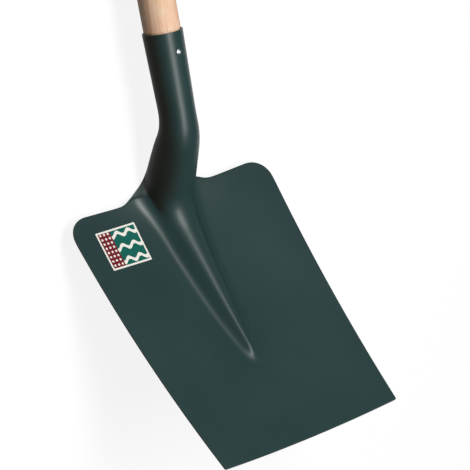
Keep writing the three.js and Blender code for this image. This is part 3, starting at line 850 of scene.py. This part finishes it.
zinc, tree = new_material("bright_zinc_plate")
place = add_node(tree, "TexCoord").outputs["Object"]
cloud = add_node(tree, "TexNoise", {"Vector": place, "Scale": 1 / (ZINC_CLOUD * MM), "Detail": 2})
colour = add_node(tree, "ValToRGB", {"Fac": cloud.outputs["Fac"]},
                  stops=((0.3, "#c9d2d3"), (0.7, "#e4ebeb")))
gloss = add_node(tree, "MapRange", {"Value": cloud.outputs["Fac"], "To Min": 0.34, "To Max": 0.44})
shader = add_node(tree, "BsdfPrincipled", {"Base Color": colour.outputs["Color"], "Metallic": 1.0,
                                           "Roughness": gloss.outputs["Result"]})
add_node(tree, "OutputMaterial", {"Surface": shader.outputs["BSDF"]})
print(zinc.name, "is made of", len(tree.nodes), "nodes")

# %% [markdown]
# The print on the label is two colours on cream film. Its design is a plain one of my own: a cream
# border, a dark red field with dots and a green field with waves. It is drawn from the label's own UV map,
# stretched to millimetres, so that it follows the film and its lines have real widths.

# %% Printed film
BORDER, RED_WIDTH = 2, 18
WAVES, WAVE_LENGTH, WAVE_SWING, WAVE_THICKNESS = 3, 15, 2.2, 4
DOTS_APART, DOT_WIDTH = 5, 2.6

film, tree = new_material("printed_label_film")
uv = add_node(tree, "TexCoord").outputs["UV"]
in_mm = add_node(tree, "Mapping", {"Vector": uv, "Scale": (LABEL_WIDTH, LABEL_HEIGHT, 1)}).outputs["Vector"]
axes = add_node(tree, "SeparateXYZ", {0: in_mm})
across, up = axes.outputs["X"], axes.outputs["Y"]

# The distance to the nearest side gives the border
from_side = add_node(tree, "Math", {0: across, 1: LABEL_WIDTH / 2}, operation="PINGPONG")
from_end = add_node(tree, "Math", {0: up, 1: LABEL_HEIGHT / 2}, operation="PINGPONG")
nearest = add_node(tree, "Math", {0: from_side.outputs[0], 1: from_end.outputs[0]}, operation="MINIMUM")
border = add_node(tree, "Math", {0: nearest.outputs[0], 1: BORDER}, operation="LESS_THAN")

# The waves are lines bent by a sine, spread evenly over the height
half_apart = LABEL_HEIGHT / WAVES / 2
phase = add_node(tree, "Math", {0: across, 1: 2 * pi / WAVE_LENGTH}, operation="MULTIPLY")
swing = add_node(tree, "Math", {0: phase.outputs[0]}, operation="SINE")
bent = add_node(tree, "Math", {0: swing.outputs[0], 1: WAVE_SWING, 2: up}, operation="MULTIPLY_ADD")
from_gap = add_node(tree, "Math", {0: bent.outputs[0], 1: half_apart}, operation="PINGPONG")
wave = add_node(tree, "Math", {0: from_gap.outputs[0], 1: half_apart - WAVE_THICKNESS / 2},
                operation="GREATER_THAN")

# Voronoi cells without randomness are squares, and the distance to their middles gives the dots
spots = add_node(tree, "TexVoronoi", {"Vector": in_mm, "Scale": 1 / DOTS_APART, "Randomness": 0})
dot = add_node(tree, "Math", {0: spots.outputs["Distance"], 1: DOT_WIDTH / 2 / DOTS_APART},
               operation="LESS_THAN")

red_field = add_node(tree, "Math", {0: across, 1: RED_WIDTH}, operation="LESS_THAN").outputs[0]
motif = add_node(tree, "Mix", {0: red_field, 2: wave.outputs[0], 3: dot.outputs[0]})
cream = add_node(tree, "Math", {0: motif.outputs[0], 1: border.outputs[0]}, operation="MAXIMUM")
ground = add_node(tree, "Mix", {0: red_field, 6: linear("#005c50"), 7: linear("#70131f")}, data_type="RGBA")
print_colour = add_node(tree, "Mix", {0: cream.outputs[0], 6: ground.outputs[2], 7: linear("#e9e6dd")},
                        data_type="RGBA")
shader = add_node(tree, "BsdfPrincipled", {"Base Color": print_colour.outputs[2], "Roughness": 0.35})
add_node(tree, "OutputMaterial", {"Surface": shader.outputs["BSDF"]})
print(film.name, "is made of", len(tree.nodes), "nodes")

# %% [markdown]
# With its material each piece gets its body, which is the only one there is, and the CAD node
# that it stands for.

# %% Finished pieces
def stands_for(piece, node, material):
    """Gives a finished piece its material, body and the CAD node that it replaces."""
    piece.data.materials.clear()
    piece.data.materials.append(material)
    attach(piece, "root")
    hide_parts(node)
    print(piece.name, "stands for", node, "and has", len(piece.data.polygons), "faces")


stands_for(head, "blade_and_socket", enamel)
stands_for(handle, "wooden_handle", ash)
stands_for(nail, "socket_nail", zinc)
stands_for(label, "label", film)

# %% [markdown]
# Studio: a pale floor, one long soft strip overhead, along the tool, and a dim room. The floor glows
# towards the camera, in reflections and through glass, which makes the background white, and keeps a faint
# shadow of the tool.

# %% Floor
FLOOR_METRES, FLOOR_GLOW, FLOOR_GREY = 14, 0.88, 0.12

bpy.ops.object.select_all(action="DESELECT")
bpy.ops.mesh.primitive_plane_add(size=FLOOR_METRES)
floor = bpy.context.object
floor.name = "floor"
pale, tree = new_material("pale_floor")
rays = add_node(tree, "LightPath")
seen = add_node(tree, "Math", {0: rays.outputs["Is Camera Ray"], 1: rays.outputs["Is Glossy Ray"]},
                operation="MAXIMUM")
seen = add_node(tree, "Math", {0: seen.outputs[0], 1: rays.outputs["Is Transmission Ray"]},
                operation="MAXIMUM")
glow = add_node(tree, "Math", {0: seen.outputs[0], 1: FLOOR_GLOW}, operation="MULTIPLY")
emission = add_node(tree, "Emission", {"Color": linear("#ffffff"), "Strength": glow.outputs[0]})
diffuse = add_node(tree, "BsdfDiffuse", {"Color": (FLOOR_GREY, FLOOR_GREY, FLOOR_GREY, 1)})
total = add_node(tree, "AddShader", {0: emission.outputs[0], 1: diffuse.outputs[0]})
add_node(tree, "OutputMaterial", {"Surface": total.outputs[0]})
floor.data.materials.append(pale)
print("floor", FLOOR_METRES, "m wide")

# %% [markdown]
# The strip hangs between two points and faces the head. Its mirror image gives the long soft lines on
# ridge and socket, and its narrowness leaves the flanks dark.

# %% Lights
STRIP_LOW, STRIP_HIGH = Vector((-0.196, -1.117, 1.867)), Vector((0.220, 0.478, 1.420))
STRIP_WIDTH, STRIP_WATTS = 0.457, 33
LIT_POINT = Vector((0, -0.5, 0.08))
ROOM_COLOUR, ROOM_STRENGTH = (0.9, 0.95, 1, 1), 0.1

strip_data = bpy.data.lights.new("strip_light", "AREA")
strip_data.shape = "RECTANGLE"
strip_data.size, strip_data.size_y = STRIP_WIDTH, (STRIP_HIGH - STRIP_LOW).length
strip_data.energy = STRIP_WATTS
strip = bpy.data.objects.new("strip_light", strip_data)
bpy.context.collection.objects.link(strip)
middle = (STRIP_LOW + STRIP_HIGH) / 2
y_axis = (STRIP_HIGH - STRIP_LOW).normalized()
away = middle - LIT_POINT
z_axis = (away - y_axis * away.dot(y_axis)).normalized()
turned_to_head = Matrix((y_axis.cross(z_axis), y_axis, z_axis)).transposed().to_4x4()
strip.matrix_world = Matrix.Translation(middle) @ turned_to_head

world = bpy.data.worlds.new("room")
bpy.context.scene.world = world
world.use_nodes = True
world.node_tree.nodes["Background"].inputs["Color"].default_value = ROOM_COLOUR
world.node_tree.nodes["Background"].inputs["Strength"].default_value = ROOM_STRENGTH
bpy.context.scene.view_settings.view_transform = "Standard"
print("strip", round(strip_data.size_y, 2), "m long,", round(away.length, 2), "m from the head")
